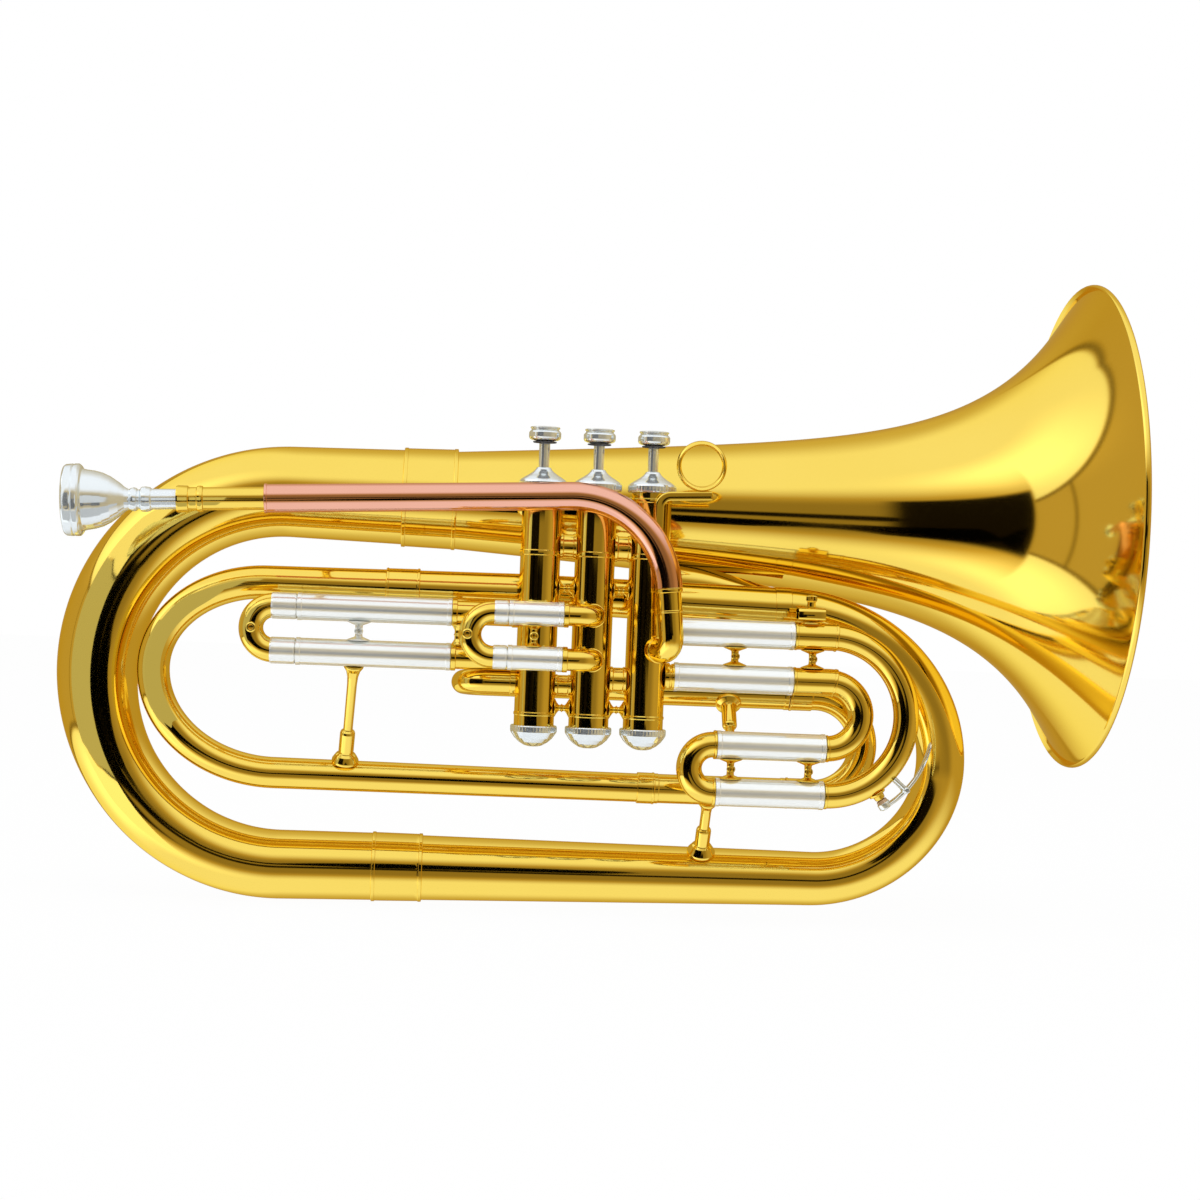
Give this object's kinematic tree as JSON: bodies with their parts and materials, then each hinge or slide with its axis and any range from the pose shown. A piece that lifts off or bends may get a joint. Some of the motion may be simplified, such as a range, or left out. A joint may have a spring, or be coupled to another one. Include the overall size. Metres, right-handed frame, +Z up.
{
  "type": "marching euphonium",
  "caption": "Forward-facing valved brass instrument with piston valves, pull-out slides, a mouthpiece, a finger ring and a wide flared bell.",
  "frame": {"origin": "on the axis of the middle valve, at mid-height of the valve block", "axes": "+X toward the bell, +Z up toward the finger buttons, -Y toward the leadpipe side"},
  "size_m": [0.585, 0.28, 0.3708],
  "materials": {
    "lacquered_brass": "clear gold lacquer over polished brass",
    "rose_brass": "clear lacquer over polished rose brass",
    "nickel_silver": "polished nickel silver",
    "silver_plate": "polished silver plate",
    "steel": "bright steel"
  },
  "bodies": {
    "body": {"top_cap_1": "silver_plate", "top_cap_2": "silver_plate", "top_cap_3": "silver_plate", "bottom_cap_1": "silver_plate", "bottom_cap_2": "silver_plate", "bottom_cap_3": "silver_plate", "finger_hook": "silver_plate", "leadpipe": "rose_brass", "first_sleeve_upper": "nickel_silver", "first_sleeve_lower": "nickel_silver", "first_sleeve_brace": "nickel_silver", "second_sleeve_upper": "nickel_silver", "second_sleeve_lower": "nickel_silver", "third_sleeve_upper": "nickel_silver", "third_sleeve_inner": "nickel_silver", "third_sleeve_loop": "nickel_silver", "long_strut": "nickel_silver", "short_strut": "nickel_silver", "slide_post": "nickel_silver", "leadpipe_brace": "nickel_silver", "valve_spring_1": "steel", "valve_spring_2": "steel", "valve_spring_3": "steel", "mouthpiece_receiver": "lacquered_brass", "leadpipe_elbow": "lacquered_brass", "valve_casing_1": "lacquered_brass", "valve_casing_2": "lacquered_brass", "valve_casing_3": "lacquered_brass", "knuckle_12_upper": "lacquered_brass", "knuckle_23_upper": "lacquered_brass", "knuckle_12_lower": "lacquered_brass", "knuckle_23_lower": "lacquered_brass", "tuning_sleeve_upper": "lacquered_brass", "tuning_sleeve_lower": "lacquered_brass", "exit_crook": "lacquered_brass", "inner_branch": "lacquered_brass", "right_bow": "lacquered_brass", "bottom_branch": "lacquered_brass", "bell_bow": "lacquered_brass", "bell": "lacquered_brass"},
    "first_slide_body": {"first_slide": "lacquered_brass"},
    "second_slide_body": {"second_slide": "lacquered_brass"},
    "third_slide_body": {"third_slide_outer_bow": "lacquered_brass", "third_slide_inner_bow": "lacquered_brass", "third_slide_brace": "nickel_silver", "water_key_saddle": "silver_plate", "lyre_box": "silver_plate"},
    "lyre_screw_body": {"lyre_screw": "steel"},
    "water_key_body": {"water_key": "silver_plate"},
    "tuning_slide_body": {"tuning_slide": "lacquered_brass"},
    "mouthpiece_body": {"mouthpiece": "silver_plate"},
    "valve_1": {"piston_1": "nickel_silver", "valve_stem_1": "nickel_silver", "finger_button_1": "silver_plate"},
    "valve_2": {"piston_2": "nickel_silver", "valve_stem_2": "nickel_silver", "finger_button_2": "silver_plate"},
    "valve_3": {"piston_3": "nickel_silver", "valve_stem_3": "nickel_silver", "finger_button_3": "silver_plate"}
  },
  "joints": [
    {"name": "valve_1_press", "type": "slide", "parent": "body", "child": "valve_1", "axis": [0, 0, -1], "range_m": [0, 0.0125], "stiffness_N_per_m": 180, "springref_m": -0.012, "deforming": ["valve_spring_1"]},
    {"name": "valve_2_press", "type": "slide", "parent": "body", "child": "valve_2", "axis": [0, 0, -1], "range_m": [0, 0.0125], "stiffness_N_per_m": 180, "springref_m": -0.012, "deforming": ["valve_spring_2"]},
    {"name": "valve_3_press", "type": "slide", "parent": "body", "child": "valve_3", "axis": [0, 0, -1], "range_m": [0, 0.0125], "stiffness_N_per_m": 180, "springref_m": -0.012, "deforming": ["valve_spring_3"]},
    {"name": "first_slide_pull", "type": "slide", "parent": "body", "child": "first_slide_body", "axis": [-1, 0, 0], "range_m": [0, 0.06]},
    {"name": "second_slide_pull", "type": "slide", "parent": "body", "child": "second_slide_body", "axis": [-1, 0, 0], "range_m": [0, 0.02]},
    {"name": "third_slide_pull", "type": "slide", "parent": "body", "child": "third_slide_body", "axis": [1, 0, 0], "range_m": [0, 0.045]},
    {"name": "tuning_slide_pull", "type": "slide", "parent": "body", "child": "tuning_slide_body", "axis": [1, 0, 0], "range_m": [0, 0.016]},
    {"name": "water_key_turn", "type": "hinge", "parent": "third_slide_body", "child": "water_key_body", "pos_m": [0.17715, 0, -0.0937], "axis": [0, -1, 0], "range_deg": [0, 8], "stiffness_Nm_per_rad": 0.05, "springref_deg": -17.19},
    {"name": "lyre_screw_turn", "type": "hinge", "parent": "third_slide_body", "child": "lyre_screw_body", "pos_m": [0.1208, 0, 0.005], "axis": [0, 0, 1], "continuous": true},
    {"name": "mouthpiece_pull", "type": "slide", "parent": "body", "child": "mouthpiece_body", "axis": [-0.9987, 0, -0.0504], "range_m": [0, 0.02]}
  ]
}
